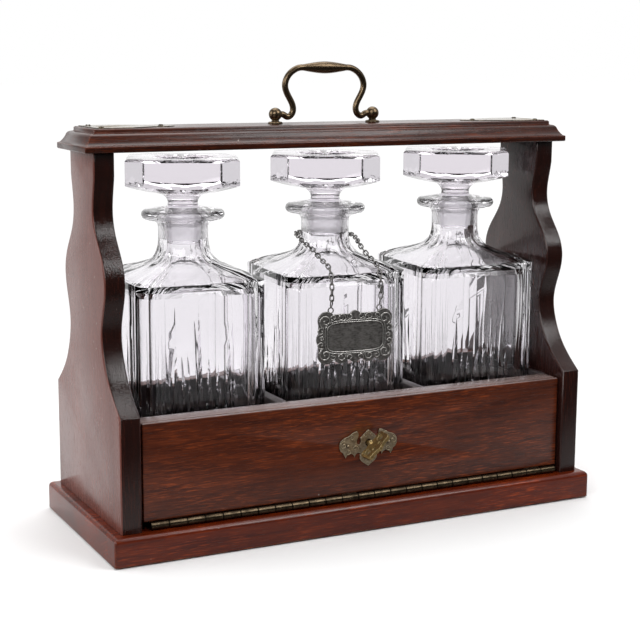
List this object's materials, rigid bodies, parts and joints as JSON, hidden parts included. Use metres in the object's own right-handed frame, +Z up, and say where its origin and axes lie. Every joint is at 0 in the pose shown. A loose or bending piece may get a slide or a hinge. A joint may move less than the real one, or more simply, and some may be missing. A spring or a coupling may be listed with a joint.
{
  "type": "tantalus",
  "caption": "Lockable wooden decanter stand: wavy end cheeks, moulded top board with a brass bail handle, hinged drop front, square cut-glass decanters.",
  "frame": {"origin": "middle of the felt underside of the plinth", "axes": "+X along the stand to the viewer's right as seen from the front, +Y towards the back, +Z up"},
  "size_m": [0.37, 0.1569, 0.3206],
  "materials": {
    "mahogany": "french-polished dark red-brown mahogany, worn pale along its edges",
    "pine": "plain planed softwood, unpolished",
    "baize": "dull green baize",
    "antique_brass": "dark antique brass, polished on the high spots",
    "hinge_brass": "dull dark brass",
    "lock_brass": "plain milled brass",
    "escutcheon_brass": "cast brass with dark recesses",
    "screw_steel": "dull steel",
    "cut_glass": "polished clear lead crystal, fluted and star cut",
    "silver": "darkened silver, bright on the raised border"
  },
  "bodies": {
    "stand": {"plinth": "mahogany", "plinth_felt": "baize", "left_cheek": "mahogany", "right_cheek": "mahogany", "side_rail_left": "mahogany", "side_rail_right": "mahogany", "divider_left": "mahogany", "divider_right": "mahogany", "top_plate_left": "antique_brass", "top_plate_right": "antique_brass", "handle_post_left": "antique_brass", "handle_post_right": "antique_brass", "keeper_stud_left": "lock_brass", "keeper_stud_right": "lock_brass", "cheek_screws": "screw_steel", "board_screws": "screw_steel", "top_board": "mahogany", "plate_screws": "antique_brass", "back_panel": "mahogany", "platform": "pine", "platform_bearers": "pine", "well_baize": "baize", "handle_nuts": "antique_brass", "hinge_leaf_plinth": "hinge_brass", "plinth_leaf_screws": "hinge_brass", "hinge_pin": "hinge_brass"},
    "drop_front": {"drop_front": "mahogany", "hinge_leaf_front": "hinge_brass", "front_leaf_screws": "hinge_brass", "lock_case": "lock_brass", "lock_screws": "lock_brass", "escutcheon": "escutcheon_brass", "escutcheon_pins": "escutcheon_brass"},
    "lock_bar": {"lock_bar": "lock_brass"},
    "key": {"key": "escutcheon_brass"},
    "handle": {"handle_bail": "antique_brass"},
    "decanter_left": {"decanter_left": "cut_glass"},
    "decanter_middle": {"decanter_middle": "cut_glass", "ticket_chain": "silver"},
    "decanter_right": {"decanter_right": "cut_glass"},
    "stopper_left": {"stopper_left": "cut_glass"},
    "stopper_middle": {"stopper_middle": "cut_glass"},
    "stopper_right": {"stopper_right": "cut_glass"},
    "ticket": {"ticket": "silver"}
  },
  "joints": [
    {"name": "front_hinge", "type": "hinge", "parent": "stand", "child": "drop_front", "pos_m": [0, -0.0647, 0.0231], "axis": [1, 0, 0], "range_deg": [0, 90]},
    {"name": "key_turn", "type": "hinge", "parent": "drop_front", "child": "key", "pos_m": [0.003, -0.07, 0.061], "axis": [0, 1, 0], "range_deg": [-45, 135]},
    {"name": "bar_slide", "type": "slide", "parent": "drop_front", "child": "lock_bar", "axis": [1, 0, 0], "range_m": [-0.00125, 0.00375]},
    {"name": "handle_swing", "type": "hinge", "parent": "stand", "child": "handle", "pos_m": [0, 0, 0.2844], "axis": [1, 0, 0], "range_deg": [-100, 100]},
    {"name": "decanter_left_lift", "type": "slide", "parent": "stand", "child": "decanter_left", "axis": [0, 0, 1], "range_m": [0, 0.0056]},
    {"name": "stopper_left_turn", "type": "hinge", "parent": "decanter_left", "child": "stopper_left", "pos_m": [-0.10657, 0.002, 0.2247], "axis": [0, 0, 1], "continuous": true},
    {"name": "decanter_middle_lift", "type": "slide", "parent": "stand", "child": "decanter_middle", "axis": [0, 0, 1], "range_m": [0, 0.0056]},
    {"name": "stopper_middle_turn", "type": "hinge", "parent": "decanter_middle", "child": "stopper_middle", "pos_m": [0.0018, 0.002, 0.2247], "axis": [0, 0, 1], "continuous": true},
    {"name": "decanter_right_lift", "type": "slide", "parent": "stand", "child": "decanter_right", "axis": [0, 0, 1], "range_m": [0, 0.0056]},
    {"name": "stopper_right_turn", "type": "hinge", "parent": "decanter_right", "child": "stopper_right", "pos_m": [0.11017, 0.002, 0.2247], "axis": [0, 0, 1], "continuous": true},
    {"name": "ticket_swing", "type": "hinge", "parent": "decanter_middle", "child": "ticket", "pos_m": [0.00237, -0.0443, 0.1533], "axis": [-0.9976, 0.0698, 0], "range_deg": [0, 45]}
  ],
  "couplings": [
    {"joint": "key_turn", "follows": "bar_slide", "rad_per_m": 628.32}
  ]
}
